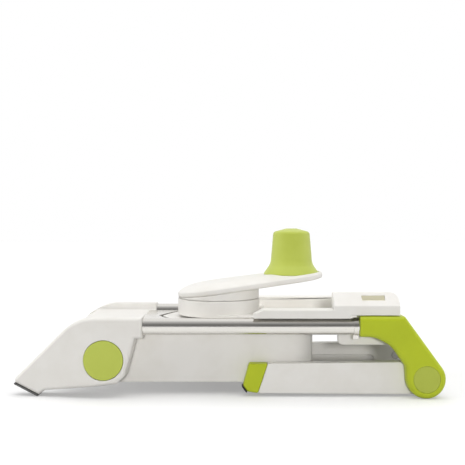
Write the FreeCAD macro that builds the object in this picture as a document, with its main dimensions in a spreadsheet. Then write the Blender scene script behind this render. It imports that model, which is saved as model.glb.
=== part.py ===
import FreeCAD
import Part
import Sketcher
import math
import os
import re

# Folding mandoline slicer in its stored pose. Millimetres, +X to the handle, -Y is the left side, +Z up.
doc = FreeCAD.newDocument("mandoline")
sheet = doc.addObject("Spreadsheet::Sheet", "dims")

SIZES = (
    # Gaps and fits
    ("fit_gap", 0.05), ("slide_gap", 0.4), ("lift_gap", 0.6), ("cut_margin", 5),
    # Steel rails
    ("rail_spacing", 120), ("rail_diameter", 15), ("rail_wall", 1.2), ("rail_height", 63.5), ("rail_span", 194),
    ("rail_grip", 45), ("rail_socket", 28), ("ring_length", 5), ("ring_wall", 0.6), ("nib_width", 2.4),
    ("nib_drop", 4),
    # Front cheeks and their rubber soles
    ("cheek_rear_x", -76), ("cheek_length", 118.5), ("rim_height", 6.3), ("cheek_top_length", 59),
    ("rim_width", 19), ("cheek_inner_wall", 8.5), ("cheek_outer_wall", 2.5), ("cheek_round", 45),
    ("cheek_step", 6.5), ("cheek_rear_lean", 15.5), ("cheek_corner", 7), ("cheek_bottom", 13),
    ("toe_taper", 15), ("toe_taper_length", 74), ("toe_nose", 3.5), ("heel_back", 6.5), ("heel_rise", 5.5),
    ("sole_length", 25), ("sole_angle", 24), ("sole_thickness", 1.5),
    # Thickness dial, shaft and cams
    ("dial_setback", 34.5), ("dial_height", 34.3), ("dial_diameter", 35.4), ("dial_thickness", 3.7),
    ("shaft_diameter", 8), ("cam_diameter", 20), ("cam_throw", 3.9), ("cam_width", 6), ("cam_side_gap", 2),
    ("cam_gap", 1.2),
    # Body shell
    ("shell_overlap", 24), ("shell_rear_gap", 37.8), ("shell_bottom", 10.5), ("shell_wall", 2.5),
    ("shell_rail_gap", 0.5), ("shell_round", 22), ("shell_side_gap", 1.5),
    # Slicing deck: landing plate, blade, holder, runway
    ("cut_height", 66), ("landing_flat", 55), ("landing_lip", 34), ("landing_lip_angle", 45),
    ("landing_thickness", 3), ("blade_seat", 6), ("blade_reach", 26), ("blade_vee", 18), ("blade_thickness", 1),
    ("blade_overhang", 7), ("blade_gap", 4), ("holder_thickness", 5), ("screw_diameter", 4), ("screw_inset", 5),
    ("screw_side", 10), ("runway_thickness", 3), ("runway_side_gap", 0.5), ("hinge_setback", 10),
    ("hinge_drop", 6), ("hinge_pin", 4), ("knuckle_diameter", 9), ("knuckle_half", 30), ("knuckle_gap", 1),
    ("pin_seat", 9), ("runway_arm_height", 5.5), ("runway_arm_root", 12), ("runway_arm_lead", 6),
    # Handle frame and rear crossbeam
    ("handle_reach", 59), ("sleeve_wall", 2.5), ("sleeve_floor", 1), ("sleeve_outer", 3.5),
    ("sleeve_length", 40), ("arm_width", 10.5), ("pivot_round", 17.5), ("bend_start", 13), ("bend_run", 31),
    ("bend_rise", 29.5), ("throat_run", 18.5), ("throat_rise", 11.5), ("bend_round", 26), ("grip_thickness", 9),
    ("grip_fall", 32), ("pivot_pin", 8), ("cap_diameter", 24), ("cap_thickness", 3),
    ("beam_lead", 17), ("beam_back", 32), ("beam_bottom", 45), ("beam_gap", 1.6), ("beam_wall", 3),
    ("beam_tab", 5), ("beam_round", 5), ("beam_roof", 3.5),
    # Folding legs
    ("leg_length", 163), ("leg_width", 10.5), ("leg_gap", 0.5), ("leg_top", 29.7), ("leg_bottom", 2.8),
    ("leg_lug", 15.5), ("leg_shoulder", 1.5), ("leg_pocket_reach", 100), ("leg_pocket_end", 28.5),
    ("leg_pocket_round", 6), ("leg_pocket_level", 11.8), ("leg_pocket_depth", 4), ("foot_lead", 5.4),
    ("foot_top", 22.5), ("foot_low", 13.5), ("heel_run", 4), ("heel_low", 1.5), ("heel_high", 7),
    ("foot_sole", 1.5), ("crossbar_setback", 26), ("crossbar_width", 14), ("crossbar_height", 6.5),
    ("crossbar_gap", 1),
    # Guider carriage
    ("carriage_overhang", 36), ("runner_length", 131), ("runner_height", 5), ("runner_inset", 1),
    ("runner_edge", 2), ("runner_slope", 9), ("guide_thickness", 1.5), ("guide_front", 5), ("guide_rear", 8),
    ("pad_width", 8), ("pad_gap", 0.3), ("lip_drop", 2.8), ("web_length", 10), ("web_foot", 14),
    ("web_thickness", 3), ("bridge_length", 20), ("block_length", 59), ("block_height", 19.6),
    ("block_skirt", 8.5), ("block_draft", 12), ("block_wall", 2), ("block_round", 6), ("window_rear", 12.6),
    ("window_drop", 2.8), ("window_depth", 1.5), ("window_length", 20.5), ("window_height", 3.8),
    ("chute_lead", 32), ("chute_diameter", 80), ("chute_wall", 4), ("chute_gap", 2), ("chute_height", 15.5),
    # Pusher
    ("plunger_rise", 8), ("collar_inset", 0.5), ("collar_gap", 0.3), ("collar_height", 14), ("plate_gap", 0.8),
    ("plate_tilt", 7.8), ("plate_rim", 4.7), ("plate_crown", 3.8), ("plate_crown_inset", 7), ("plate_top", 6),
    ("plate_top_inset", 20), ("plate_end", 31), ("knob_reach", 71.5), ("knob_lift", 2.3), ("knob_base", 54),
    ("knob_lip", 1.2), ("knob_waist", 41), ("knob_waist_rise", 10.5), ("knob_crown", 35.6),
    ("knob_crown_rise", 41.6), ("knob_top", 10), ("knob_height", 45), ("knob_flare", 14), ("knob_round", 3.5),
    ("knob_screw_depth", 20), ("head_diameter", 8), ("head_height", 3), ("prong_ring", 30), ("prong_length", 8),
    ("prong_tip", 0.6), ("prong_diameter", 2.4),
)
for row, (alias, value) in enumerate(SIZES, start=1):
    sheet.set("A%d" % row, alias)
    sheet.set("B%d" % row, str(value))
    sheet.setAlias("B%d" % row, alias)
doc.recompute()

PRONGS = 6
SIDES = ((-1, "left"), (1, "right"))
WORDS = ("sin", "cos", "tan", "sqrt", "deg")

# Sketch curves are first drawn at these rough sizes, then pulled to their places
START_ROUND = 50
START_NEAR_ROUND = 40
START_FAR_ROUND = 30
START_REACH = 70

# Shared places, written once from the driving sizes
TIP_X = "(cheek_rear_x - cheek_length)"
SOLE_RUN = "(sole_length * cos(sole_angle * 1deg))"
SOLE_RISE = "(sole_length * sin(sole_angle * 1deg))"
SOLE_IN_X = "(sole_thickness * sin(sole_angle * 1deg))"
SOLE_IN_Z = "(sole_thickness * cos(sole_angle * 1deg))"
RAIL_Y = "(rail_spacing / 2)"
RAIL_IN = "(rail_spacing / 2 - rail_diameter / 2)"
RAIL_OUT = "(rail_spacing / 2 + rail_diameter / 2)"
RAIL_TOP = "(rail_height + rail_diameter / 2)"
RAIL_LOW = "(rail_height - rail_diameter / 2)"
CHEEK_IN = "(%s - cheek_inner_wall)" % RAIL_IN
CHEEK_OUT = "(%s + cheek_outer_wall)" % RAIL_OUT
SLEEVE_X = "(cheek_rear_x + rail_span)"
SLEEVE_IN = "(%s - sleeve_wall)" % RAIL_IN
SLEEVE_TOP = "(%s + sleeve_wall)" % RAIL_TOP
SLEEVE_LOW = "(%s - sleeve_floor)" % RAIL_LOW
PIVOT_X = "(%s + handle_reach)" % SLEEVE_X
PIVOT_Z = "pivot_round"
ARM_OUT = "(%s + sleeve_outer)" % RAIL_OUT
ARM_IN = "(%s - arm_width)" % ARM_OUT
LEG_OUT = "(%s - leg_gap)" % ARM_IN
LEG_IN = "(%s - leg_width)" % LEG_OUT
FOOT_X = "(%s - leg_length)" % PIVOT_X
SHELL_HALF = "(%s - shell_side_gap)" % LEG_IN
SHELL_FRONT = "(cheek_rear_x - shell_overlap)"
SHELL_REAR = "(%s - shell_rear_gap)" % SLEEVE_X
SHELL_TOP = "(%s - shell_rail_gap)" % RAIL_LOW
DIAL_X = "(cheek_rear_x - dial_setback)"
DIAL_IN = "(%s - dial_thickness)" % CHEEK_OUT
CAM_OUT = "(%s - cam_side_gap)" % CHEEK_IN
CAM_IN = "(%s - cam_width)" % CAM_OUT
BLADE_FRONT = "(cheek_rear_x - blade_seat)"
BLADE_X = "(cheek_rear_x + blade_reach)"
BLADE_TIP = "(%s - blade_vee)" % BLADE_X
SCREW_Y = "(%s - screw_side)" % CHEEK_IN
HINGE_X = "(%s + hinge_setback)" % SLEEVE_X
CHEEK_TOP = "(cut_height + rim_height)"
HINGE_Z = "(cut_height - hinge_drop)"
KNUCKLE_LOW = "(%s - knuckle_diameter / 2 - knuckle_gap)" % HINGE_Z
RUN_IN = "(%s + runner_inset)" % SLEEVE_IN
RUN_OUT = "(%s - runner_edge)" % CHEEK_OUT
RUN_LOW = "(%s + lift_gap)" % SLEEVE_TOP
RUN_TOP = "(%s + runner_height)" % RUN_LOW
RUN_REAR = "(%s + carriage_overhang)" % SLEEVE_X
RUN_FRONT = "(%s - runner_length)" % RUN_REAR
GUIDE_OUT = "(%s - slide_gap)" % RAIL_IN
CHUTE_X = "(%s - chute_lead)" % RUN_FRONT
CHUTE_LOW = "(cut_height + chute_gap)"
CHUTE_TOP = "(%s + chute_height)" % CHUTE_LOW
CHUTE_BORE = "(chute_diameter - 2 * chute_wall)"
PLUNGER_LOW = "(%s + plunger_rise)" % CHUTE_LOW
TILT = "tan(plate_tilt * 1deg)"
PLATE_LOW = "(%s + plate_gap)" % CHUTE_TOP
KNOB_X = "(%s + knob_reach)" % CHUTE_X
KNOB_UNDER = "(%s + (knob_reach + chute_diameter / 2) * %s)" % (PLATE_LOW, TILT)
KNOB_LOW = "(%s + plate_rim + knob_lift)" % KNOB_UNDER
HEAD_TOP = "(%s + head_height + head_diameter / 2 * %s)" % (KNOB_UNDER, TILT)

pieces = []


def bound(text):
    """Point every size name in an expression at the sheet."""
    def point(word):
        return word.group(0) if word.group(0) in WORDS else "dims." + word.group(0)
    return re.sub(r"[a-z_]+", point, text)


def new_body(label):
    body = doc.addObject("PartDesign::Body", label)
    body.Label = label
    pieces.append(body)
    return body


def new_sketch(body, role, offset):
    """Sketch parallel to one of the body's own origin planes, moved along its normal."""
    sketch = body.newObject("Sketcher::SketchObject", body.Name + "_sketch")
    plane = [item for item in body.Origin.OriginFeatures if item.Role == role][0]
    sketch.AttachmentSupport = [(plane, "")]
    sketch.MapMode = "FlatFace"
    sketch.setExpression("AttachmentOffset.Base.z", bound(offset))
    return sketch


def fix_value(sketch, constraint, text):
    index = sketch.addConstraint(constraint)
    sketch.setExpression("Constraints[%d]" % index, bound(text))


def fix_point(sketch, curve, point, guess, place):
    fix_value(sketch, Sketcher.Constraint("DistanceX", curve, point, guess.x), place[0])
    fix_value(sketch, Sketcher.Constraint("DistanceY", curve, point, guess.y), place[1])


def polar(x, radius, angle):
    return FreeCAD.Vector(x + radius * math.cos(angle), radius * math.sin(angle), 0)


def outline(points):
    """Closed outline of straight edges through the given points."""
    def draw(sketch):
        count = len(points)
        first = sketch.GeometryCount
        turn = 2 * math.pi / count
        guess = [polar(0, START_ROUND, turn * i) for i in range(count)]
        for i in range(count):
            sketch.addGeometry(Part.LineSegment(guess[i], guess[(i + 1) % count]))
        for i in range(count):
            after = first + (i + 1) % count
            sketch.addConstraint(Sketcher.Constraint("Coincident", first + i, 2, after, 1))
        for i, place in enumerate(points):
            fix_point(sketch, first + i, 1, guess[i], place)
    return draw


def rectangle(left, low, right, high):
    return outline([(left, low), (right, low), (right, high), (left, high)])


def circle(x, y, diameter):
    def draw(sketch):
        guess = FreeCAD.Vector(START_ROUND, START_ROUND, 0)
        curve = sketch.addGeometry(Part.Circle(guess, FreeCAD.Vector(0, 0, 1), START_ROUND))
        fix_point(sketch, curve, 3, guess, (x, y))
        fix_value(sketch, Sketcher.Constraint("Diameter", curve, 2 * START_ROUND), diameter)
    return draw


def ring(x, y, outer, inner):
    def draw(sketch):
        circle(x, y, outer)(sketch)
        circle(x, y, inner)(sketch)
    return draw


def teardrop(near_x, near_round, far_x, far_round, level):
    """Two round ends of any size joined by their common tangents."""
    lean = "((%s - (%s)) / (%s - (%s)))" % (near_round, far_round, far_x, near_x)
    rise = "sqrt(1 - %s ^ 2)" % lean
    near_side = "%s + (%s) * %s" % (near_x, near_round, lean)
    far_side = "%s + (%s) * %s" % (far_x, far_round, lean)

    def draw(sketch):
        axis = FreeCAD.Vector(0, 0, 1)
        touch = math.acos((START_NEAR_ROUND - START_FAR_ROUND) / START_REACH)
        near_arc = Part.Circle(FreeCAD.Vector(0, 0, 0), axis, START_NEAR_ROUND)
        far_arc = Part.Circle(FreeCAD.Vector(START_REACH, 0, 0), axis, START_FAR_ROUND)
        low_near = polar(0, START_NEAR_ROUND, -touch)
        top_near = polar(0, START_NEAR_ROUND, touch)
        low_far = polar(START_REACH, START_FAR_ROUND, -touch)
        top_far = polar(START_REACH, START_FAR_ROUND, touch)
        sketch.addGeometry(Part.ArcOfCircle(near_arc, touch, 2 * math.pi - touch))
        sketch.addGeometry(Part.LineSegment(low_near, low_far))
        sketch.addGeometry(Part.ArcOfCircle(far_arc, -touch, touch))
        sketch.addGeometry(Part.LineSegment(top_far, top_near))
        for i in range(4):
            sketch.addConstraint(Sketcher.Constraint("Coincident", i, 2, (i + 1) % 4, 1))
        fix_point(sketch, 1, 1, low_near, (near_side, "%s - (%s) * %s" % (level, near_round, rise)))
        fix_point(sketch, 1, 2, low_far, (far_side, "%s - (%s) * %s" % (level, far_round, rise)))
        fix_point(sketch, 3, 1, top_far, (far_side, "%s + (%s) * %s" % (level, far_round, rise)))
        fix_point(sketch, 3, 2, top_near, (near_side, "%s + (%s) * %s" % (level, near_round, rise)))
        fix_value(sketch, Sketcher.Constraint("DistanceX", 0, 3, 0.0), near_x)
        fix_value(sketch, Sketcher.Constraint("DistanceX", 2, 3, START_REACH), far_x)
    return draw


def sketched(body, kind, role, draw, offset, length):
    """One pad or pocket from one sketch; the sketch is handed back for picking its corners."""
    sketch = new_sketch(body, role, offset)
    draw(sketch)
    feature = body.newObject("PartDesign::" + kind, body.Name + "_" + kind.lower())
    feature.Profile = sketch
    feature.setExpression("Length", bound(length))
    doc.recompute()
    return sketch


def side_pad(body, side, draw, inner, outer):
    """Pad lying between two distances from the middle plane, on one side."""
    offset = inner if side < 0 else "-(%s)" % outer
    return sketched(body, "Pad", "XZ_Plane", draw, offset, "%s - (%s)" % (outer, inner))


def side_cut(body, side, draw, inner, outer):
    before = body.Shape.Volume
    offset = outer if side < 0 else "-(%s)" % inner
    sketched(body, "Pocket", "XZ_Plane", draw, offset, "%s - (%s)" % (outer, inner))
    check_cut(body, before)


def across_pad(body, draw, half):
    return sketched(body, "Pad", "XZ_Plane", draw, "-(%s)" % half, "2 * (%s)" % half)


def across_cut(body, draw, half):
    before = body.Shape.Volume
    sketched(body, "Pocket", "XZ_Plane", draw, half, "2 * (%s)" % half)
    check_cut(body, before)


def flat_pad(body, draw, low, height):
    return sketched(body, "Pad", "XY_Plane", draw, low, height)


def down_cut(body, draw, top, depth):
    before = body.Shape.Volume
    sketched(body, "Pocket", "XY_Plane", draw, top, depth)
    check_cut(body, before)


def end_pad(body, draw, start, length):
    return sketched(body, "Pad", "YZ_Plane", draw, start, length)


def front_cut(body, draw, rear, length):
    """Pocket running towards the front from a plane across the rails."""
    before = body.Shape.Volume
    sketched(body, "Pocket", "YZ_Plane", draw, rear, length)
    check_cut(body, before)


def check_cut(body, before):
    if not body.Shape.Volume < before - 1e-6:
        raise RuntimeError("a cut missed its solid: " + body.Label)


def round_edges(body, names, radius):
    base = body.Tip
    fillet = body.newObject("PartDesign::Fillet", body.Name + "_fillet")
    fillet.Base = (base, names)
    fillet.setExpression("Radius", bound(radius))
    doc.recompute()


def round_corners(body, sketch, corners, radius):
    """Round the edges that start at the given corners of an outline, straight or turned."""
    normal = sketch.Placement.Rotation.multVec(FreeCAD.Vector(0, 0, 1))
    spots = [Part.Vertex(sketch.Placement.multVec(sketch.Geometry[i].StartPoint)) for i in corners]
    names = []
    for index, edge in enumerate(body.Tip.Shape.Edges, start=1):
        if isinstance(edge.Curve, Part.Line):
            wanted = edge.Curve.Direction.cross(normal).Length < 1e-6
        else:
            wanted = isinstance(edge.Curve, Part.Circle) and edge.isClosed()
        if wanted and any(edge.distToShape(spot)[0] < 1e-4 for spot in spots):
            names.append("Edge%d" % index)
    round_edges(body, names, radius)


def primitive(kind, name, place, **sizes):
    """Part primitive whose sizes and place are bound to the sheet."""
    item = doc.addObject("Part::" + kind, name)
    for size, text in sizes.items():
        item.setExpression(size, bound(text))
    for axis, text in zip("xyz", place):
        item.setExpression("Placement.Base." + axis, bound(text))
    return item


def group(label, items):
    item = doc.addObject("Part::Compound", label)
    item.Label = label
    item.Links = items
    pieces.append(item)
    return item


def signed(side, text):
    return "%d * (%s)" % (side, text)


def taper_toe(body, side):
    """Draw the outside of the toe in towards its tip."""
    end_x = "%s + toe_taper_length" % TIP_X
    clear_x = "%s - cut_margin" % TIP_X
    wide = signed(side, "%s + cut_margin" % CHEEK_OUT)
    narrow = signed(side, "%s - toe_taper" % CHEEK_OUT)
    down_cut(body, outline([
        (clear_x, wide),
        (clear_x, narrow),
        (TIP_X, narrow),
        (end_x, signed(side, CHEEK_OUT)),
        (end_x, wide),
    ]), "%s + cut_margin" % CHEEK_TOP, "%s + 2 * cut_margin" % CHEEK_TOP)


# Front cheeks: moulded side housings that hold the rail ends and the dial
for side, word in SIDES:
    cheek = new_body("front_cheek_" + word)
    step_z = "%s - cheek_outer_wall" % RAIL_LOW
    cheek_line = side_pad(cheek, side, outline([
        ("%s + %s" % (TIP_X, SOLE_IN_X), "%s + %s" % (SOLE_RISE, SOLE_IN_Z)),
        ("%s + %s" % (TIP_X, SOLE_IN_X), "%s + %s + toe_nose" % (SOLE_RISE, SOLE_IN_Z)),
        ("cheek_rear_x - cheek_top_length", CHEEK_TOP),
        ("cheek_rear_x", CHEEK_TOP),
        ("cheek_rear_x", step_z),
        ("cheek_rear_x - cheek_step", step_z),
        ("cheek_rear_x - cheek_rear_lean", "cheek_bottom + cheek_corner"),
        ("cheek_rear_x - cheek_rear_lean - cheek_corner", "cheek_bottom"),
        ("%s + %s + heel_back" % (TIP_X, SOLE_RUN), "heel_rise"),
        ("%s + %s + %s" % (TIP_X, SOLE_RUN, SOLE_IN_X), SOLE_IN_Z),
    ]), CHEEK_IN, CHEEK_OUT)
    round_corners(cheek, cheek_line, [2], "cheek_round")
    taper_toe(cheek, side)
    front_cut(cheek, rectangle(signed(side, "%s - rim_width" % CHEEK_OUT), "cut_height",
                               signed(side, "%s - cut_margin" % CHEEK_IN), "%s + cut_margin" % CHEEK_TOP),
              "cheek_rear_x + cut_margin", "cheek_length + 2 * cut_margin")
    front_cut(cheek, circle(signed(side, RAIL_Y), "rail_height", "rail_diameter + 2 * fit_gap"),
              "cheek_rear_x + cut_margin", "rail_grip + cut_margin")
    side_cut(cheek, side, circle(DIAL_X, "dial_height", "dial_diameter + 2 * slide_gap"),
             "%s - slide_gap" % DIAL_IN, "%s + cut_margin" % CHEEK_OUT)
    side_cut(cheek, side, circle(DIAL_X, "dial_height", "shaft_diameter + 2 * fit_gap"),
             "%s - cut_margin" % CHEEK_IN, "%s + cut_margin" % CHEEK_OUT)
    side_cut(cheek, side, rectangle(SHELL_FRONT, "0", "cheek_rear_x + cut_margin", SHELL_TOP),
             "%s - cut_margin" % CHEEK_IN, SHELL_HALF)

# Toe soles: rubber strips under the slanted toes, flat on the table once the legs are out
for side, word in SIDES:
    toe_sole = new_body("toe_sole_" + word)
    side_pad(toe_sole, side, outline([
        (TIP_X, SOLE_RISE),
        ("%s + %s" % (TIP_X, SOLE_RUN), "0"),
        ("%s + %s + %s" % (TIP_X, SOLE_RUN, SOLE_IN_X), SOLE_IN_Z),
        ("%s + %s" % (TIP_X, SOLE_IN_X), "%s + %s" % (SOLE_RISE, SOLE_IN_Z)),
    ]), CHEEK_IN, CHEEK_OUT)
    taper_toe(toe_sole, side)

# Rails: steel tubes from the cheeks into the handle sleeves, each with a ring and nib at the sleeve
for side, word in SIDES:
    rail = new_body("rail_" + word)
    end_pad(rail, ring(signed(side, RAIL_Y), "rail_height", "rail_diameter", "rail_diameter - 2 * rail_wall"),
            "cheek_rear_x - rail_grip", "rail_grip + rail_span + rail_socket")
    rail_ring = new_body("rail_ring_" + word)
    ring_x = "%s - ring_length" % SLEEVE_X
    ring_outer = "rail_diameter + 2 * fit_gap + 2 * ring_wall"
    end_pad(rail_ring, ring(signed(side, RAIL_Y), "rail_height", ring_outer, "rail_diameter + 2 * fit_gap"),
            ring_x, "ring_length")
    nib_top = "%s - fit_gap - ring_wall / 2" % RAIL_LOW
    end_pad(rail_ring, rectangle("%s - nib_width / 2" % signed(side, RAIL_Y), "%s - nib_drop" % RAIL_LOW,
                                 "%s + nib_width / 2" % signed(side, RAIL_Y), nib_top),
            ring_x, "ring_length")

# Body shell: moulded skirt under the rails, open above, below and towards the cheeks
shell = new_body("body_shell")
shell_height = "%s - shell_bottom" % SHELL_TOP
shell_line = flat_pad(shell, rectangle(SHELL_FRONT, "-(%s)" % SHELL_HALF, SHELL_REAR, SHELL_HALF),
                      "shell_bottom", shell_height)
round_corners(shell, shell_line, [1, 2], "shell_round")
shell_inner = "(%s - shell_wall)" % SHELL_HALF
shell_inner_rear = "(%s - shell_wall)" % SHELL_REAR
hollow = new_body("shell_hollow")
pieces.remove(hollow)
hollow_line = flat_pad(hollow, rectangle("%s - cut_margin" % SHELL_FRONT, "-%s" % shell_inner, shell_inner_rear,
                                         shell_inner), "shell_bottom - cut_margin",
                       "%s + 2 * cut_margin" % shell_height)
round_corners(hollow, hollow_line, [1, 2], "shell_round - shell_wall")
pieces.remove(shell)
shell.Label = "shell_block"
body_shell = doc.addObject("Part::Cut", "body_shell_cut")
body_shell.Base = shell
body_shell.Tool = hollow
body_shell.Label = "body_shell"
pieces.append(body_shell)

# Landing plate: fixed deck in front of the blade, bent down at the toe end
landing = new_body("landing_plate")
bend_x = "(%s - landing_flat)" % BLADE_FRONT
lip_x = "%s - landing_lip * cos(landing_lip_angle * 1deg)" % bend_x
lip_z = "cut_height - landing_lip * sin(landing_lip_angle * 1deg)"
across_pad(landing, outline([
    (BLADE_FRONT, "cut_height"),
    (bend_x, "cut_height"),
    (lip_x, lip_z),
    ("%s + landing_thickness * sin(landing_lip_angle * 1deg)" % lip_x,
     "%s - landing_thickness * cos(landing_lip_angle * 1deg)" % lip_z),
    ("%s + landing_thickness * tan(landing_lip_angle / 2 * 1deg)" % bend_x, "cut_height - landing_thickness"),
    (BLADE_FRONT, "cut_height - landing_thickness"),
]), CHEEK_IN)


def vee_outline(reach):
    """Plan of the blade or its holder, notched in a V on the handle side."""
    return outline([
        (BLADE_FRONT, "-%s" % CHEEK_IN),
        ("%s - (%s)" % (BLADE_X, reach), "-%s" % CHEEK_IN),
        ("%s - (%s)" % (BLADE_TIP, reach), "0"),
        ("%s - (%s)" % (BLADE_X, reach), CHEEK_IN),
        (BLADE_FRONT, CHEEK_IN),
    ])


# V blade on its holder, held by two screws
blade_low = "(cut_height - blade_thickness)"
screw_x = "%s + screw_inset" % BLADE_FRONT
for label, reach, low, height in (
        ("blade_holder", "blade_overhang", "%s - holder_thickness" % blade_low, "holder_thickness"),
        ("v_blade", "0", blade_low, "blade_thickness")):
    plate = new_body(label)
    flat_pad(plate, vee_outline(reach), low, height)
    for side, word in SIDES:
        down_cut(plate, circle(screw_x, signed(side, SCREW_Y), "screw_diameter + 2 * fit_gap"),
                 "cut_height + cut_margin", "blade_thickness + holder_thickness + 2 * cut_margin")
group("blade_screws", [
    primitive("Cylinder", "blade_screw_" + word,
              (screw_x, signed(side, SCREW_Y), "%s - holder_thickness" % blade_low),
              Radius="screw_diameter / 2", Height="holder_thickness + blade_thickness")
    for side, word in SIDES])

# Handle: one U-shaped moulding with two sleeves on the rails, a slanted grip and two pivot ends
handle = new_body("handle_frame")
back_x = "(%s + sleeve_length)" % SLEEVE_X
back_run = "(sleeve_length - handle_reach)"
back_rise = "(%s - %s)" % (SLEEVE_TOP, PIVOT_Z)
back_square = "(%s ^ 2 + %s ^ 2)" % (back_run, back_rise)
touch_along = "pivot_round ^ 2 / %s" % back_square
touch_across = "pivot_round * sqrt(%s - pivot_round ^ 2) / %s" % (back_square, back_square)
touch_x = "%s + %s * %s + %s * %s" % (PIVOT_X, touch_along, back_run, touch_across, back_rise)
touch_z = "%s + %s * %s - %s * %s" % (PIVOT_Z, touch_along, back_rise, touch_across, back_run)
grip_low_x = "(%s + grip_fall * (%s - %s) / (%s - (%s)))" % (back_x, touch_x, back_x, SLEEVE_TOP, touch_z)
grip_low_z = "%s - grip_fall" % SLEEVE_TOP
across_pad(handle, outline([
    ("%s - grip_thickness" % back_x, SLEEVE_TOP),
    (back_x, SLEEVE_TOP),
    (grip_low_x, grip_low_z),
    ("%s - grip_thickness" % grip_low_x, grip_low_z),
]), ARM_IN)
for side, word in SIDES:
    arm_line = side_pad(handle, side, outline([
        (SLEEVE_X, SLEEVE_TOP),
        (back_x, SLEEVE_TOP),
        (touch_x, touch_z),
        ("%s + pivot_round / 2" % PIVOT_X, PIVOT_Z),
        ("%s - pivot_round" % PIVOT_X, PIVOT_Z),
        ("%s - throat_run" % PIVOT_X, "%s + throat_rise" % PIVOT_Z),
        ("%s - bend_run" % PIVOT_X, "%s + bend_rise" % PIVOT_Z),
        ("%s + bend_start" % SLEEVE_X, SLEEVE_LOW),
        (SLEEVE_X, SLEEVE_LOW),
    ]), ARM_IN, ARM_OUT)
    round_corners(handle, arm_line, [6, 7], "bend_round")
    side_pad(handle, side, circle(PIVOT_X, PIVOT_Z, "2 * pivot_round"), ARM_IN, ARM_OUT)
    side_pad(handle, side, rectangle(SLEEVE_X, SLEEVE_LOW, "%s + rail_socket + sleeve_wall" % SLEEVE_X,
                                     SLEEVE_TOP), SLEEVE_IN, ARM_OUT)
    front_cut(handle, circle(signed(side, RAIL_Y), "rail_height", "rail_diameter + 2 * fit_gap"),
              "%s + rail_socket" % SLEEVE_X, "rail_socket + cut_margin")
    side_cut(handle, side, circle(PIVOT_X, PIVOT_Z, "pivot_pin + 2 * fit_gap"),
             "%s - cut_margin" % ARM_IN, "%s + cut_margin" % ARM_OUT)
    side_cut(handle, side, circle(PIVOT_X, PIVOT_Z, "cap_diameter + 2 * fit_gap"),
             "%s - cap_thickness" % ARM_OUT, "%s + cut_margin" % ARM_OUT)

# Pivot pins of the legs, with a cap over each
for side, word in SIDES:
    side_pad(new_body("pivot_pin_" + word), side, circle(PIVOT_X, PIVOT_Z, "pivot_pin"),
             LEG_IN, "%s - cap_thickness" % ARM_OUT)
    side_pad(new_body("pivot_cap_" + word), side, circle(PIVOT_X, PIVOT_Z, "cap_diameter"),
             "%s - cap_thickness" % ARM_OUT, ARM_OUT)

# Rear crossbeam between the sleeves, hollow below, with a tab along each rail and two ears for the runway pin
beam = new_body("rear_crossbeam")
beam_front = "(%s - beam_lead)" % SLEEVE_X
beam_rear = "(%s + beam_back)" % SLEEVE_X
beam_top = "(cut_height - runway_thickness - beam_gap)"
beam_line = across_pad(beam, rectangle(beam_front, "beam_bottom", beam_rear, beam_top), SLEEVE_IN)
round_corners(beam, beam_line, [0, 1], "beam_round")
beam_inner = "(%s - beam_wall)" % SLEEVE_IN
across_cut(beam, rectangle("%s - cut_margin" % beam_front, "beam_bottom - cut_margin", SLEEVE_X,
                           "%s + cut_margin" % beam_top), "%s - beam_tab" % SLEEVE_IN)
beam_hollow = rectangle("%s + beam_wall" % SLEEVE_X, "-%s" % beam_inner,
                        "%s - beam_wall" % beam_rear, beam_inner)
down_cut(beam, beam_hollow, "%s - beam_roof" % KNUCKLE_LOW,
         "%s - beam_roof - beam_bottom + cut_margin" % KNUCKLE_LOW)
slot_half = "(knuckle_half + knuckle_gap)"
across_cut(beam, rectangle("%s - cut_margin" % beam_front, KNUCKLE_LOW, "%s + cut_margin" % beam_rear,
                           "%s + cut_margin" % beam_top), slot_half)
across_cut(beam, circle(HINGE_X, HINGE_Z, "hinge_pin + 2 * fit_gap"), "%s + pin_seat" % slot_half)
across_pad(new_body("runway_pin"), circle(HINGE_X, HINGE_Z, "hinge_pin"), "%s + pin_seat" % slot_half)

# Runway plate: hinged at the rear, V-fronted, with two arms over the cams that set the slice thickness
runway = new_body("runway_plate")
runway_half = "(%s - runway_side_gap)" % SLEEVE_IN
runway_tip = "(%s + blade_gap)" % BLADE_TIP
runway_side_x = "%s + blade_vee * %s / %s" % (runway_tip, runway_half, CHEEK_IN)
runway_low = "(cut_height - runway_thickness)"
runway_rear = "(%s - knuckle_diameter / 2 - knuckle_gap)" % HINGE_X
flat_pad(runway, outline([
    (runway_side_x, "-%s" % runway_half),
    (runway_rear, "-%s" % runway_half),
    (runway_rear, runway_half),
    (runway_side_x, runway_half),
    (runway_tip, "0"),
]), runway_low, "runway_thickness")
flat_pad(runway, rectangle("%s - cut_margin" % runway_rear, "-knuckle_half", HINGE_X, "knuckle_half"),
         runway_low, "runway_thickness")
across_pad(runway, circle(HINGE_X, HINGE_Z, "knuckle_diameter"), "knuckle_half")
across_cut(runway, circle(HINGE_X, HINGE_Z, "hinge_pin + 2 * fit_gap"), "knuckle_half + cut_margin")
cam_top = "dial_height + cam_diameter / 2 + cam_throw + cam_gap"
arm_rear = "%s + 2 * runway_arm_root" % runway_side_x
arm_front = "%s + runway_arm_root / 2" % runway_side_x
for side, word in SIDES:
    side_pad(runway, side, outline([
        (arm_rear, "cut_height - runway_thickness / 2"),
        (arm_rear, cam_top),
        ("%s - runway_arm_lead" % DIAL_X, cam_top),
        ("%s - runway_arm_lead" % DIAL_X, "%s + runway_arm_height" % cam_top),
        (arm_front, "%s + runway_arm_height" % cam_top),
        (arm_front, "cut_height - runway_thickness / 2"),
    ]), CAM_IN, CAM_OUT)

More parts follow.
